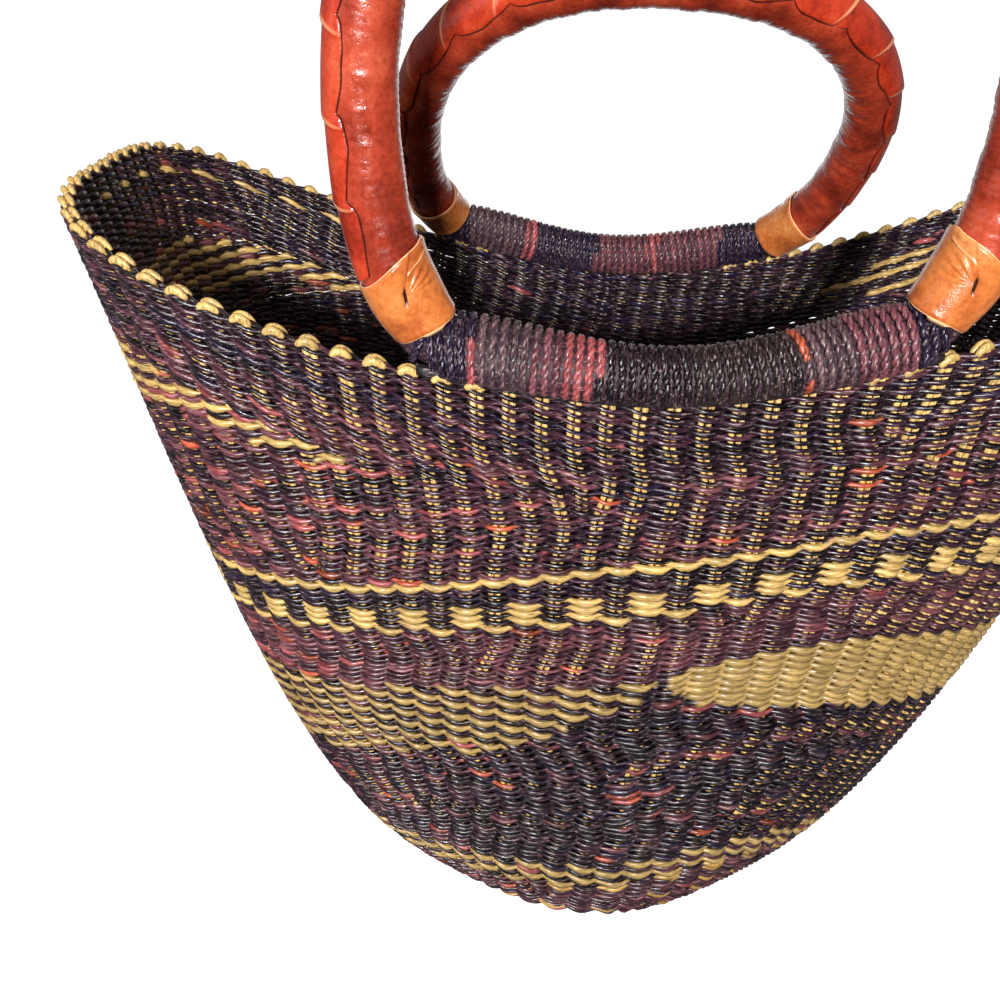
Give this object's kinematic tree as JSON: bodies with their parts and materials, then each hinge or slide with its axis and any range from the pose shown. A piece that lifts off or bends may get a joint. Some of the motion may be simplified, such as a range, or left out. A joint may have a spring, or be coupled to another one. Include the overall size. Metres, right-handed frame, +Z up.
{
  "type": "bolga basket",
  "caption": "Flaring woven straw shopper with a raised-end mouth, cord-wound rolls on the rim and swinging leather-covered arch handles.",
  "frame": {"origin": "centre of the base's underside, on the plane that the basket stands on", "axes": "+X along the mouth, +Y from the front roll to the back roll, +Z up"},
  "size_m": [0.465, 0.2586, 0.498],
  "materials": {
    "weave": "twined purple-black straw with natural stripes, satin",
    "stakes": "natural straw, satin",
    "cord": "twisted dyed straw cord, satin",
    "bundle": "raw straw bundle, matte",
    "leather": "rust-red dyed goat leather, semi-gloss",
    "lacing": "red dyed leather edge, semi-gloss",
    "cuff": "tan leather, semi-gloss"
  },
  "bodies": {
    "basket": {"woven_base": "weave", "woven_wall": "weave", "left_stake_ends": "stakes", "right_stake_ends": "stakes", "front_roll_core": "bundle", "front_roll_cord": "cord", "back_roll_core": "bundle", "back_roll_cord": "cord"},
    "front_handle": {"front_handle_core": "bundle", "front_handle_leather": "leather", "front_handle_lacing": "lacing", "front_left_cuff": "cuff", "front_right_cuff": "cuff"},
    "back_handle": {"back_handle_core": "bundle", "back_handle_leather": "leather", "back_handle_lacing": "lacing", "back_left_cuff": "cuff", "back_right_cuff": "cuff"}
  },
  "joints": [
    {"name": "front_handle_swing", "type": "hinge", "parent": "basket", "child": "front_handle", "pos_m": [0, -0.10463, 0.3108], "axis": [0.9982, 0, 0.0603], "range_deg": [-33, 13]},
    {"name": "back_handle_swing", "type": "hinge", "parent": "basket", "child": "back_handle", "pos_m": [0, 0.10463, 0.3108], "axis": [-0.9998, 0, 0.0212], "range_deg": [0, 70]}
  ]
}
